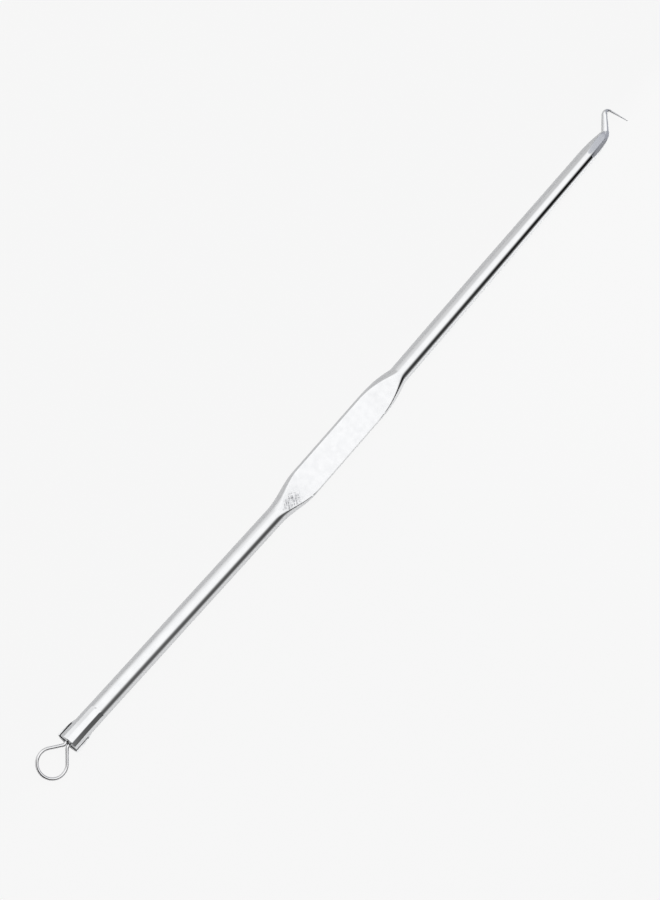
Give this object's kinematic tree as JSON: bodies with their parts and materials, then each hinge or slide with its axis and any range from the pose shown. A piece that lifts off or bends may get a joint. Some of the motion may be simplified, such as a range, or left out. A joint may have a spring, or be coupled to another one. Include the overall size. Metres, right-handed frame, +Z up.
{
  "type": "blackhead extractor",
  "caption": "Slim double-ended steel skin tool: a round rod pressed flat into a grip, with a fine bent hook at one end and a small teardrop wire loop at the other.",
  "frame": {"origin": "on the surface that the tool lies on, below the middle of its length and of its width", "axes": "+X along the grip from the loop's end to the hook's end, +Z up, square to the grip's flats, +Y to the side that the hook's leg leans to"},
  "size_m": [0.1268, 0.005, 0.0026],
  "materials": {
    "polished_steel": "polished stainless steel, with satin flats on the grip",
    "spring_wire": "bright drawn stainless spring wire"
  },
  "bodies": {
    "root": {"handle": "polished_steel", "wire_loop": "spring_wire"}
  },
  "joints": []
}
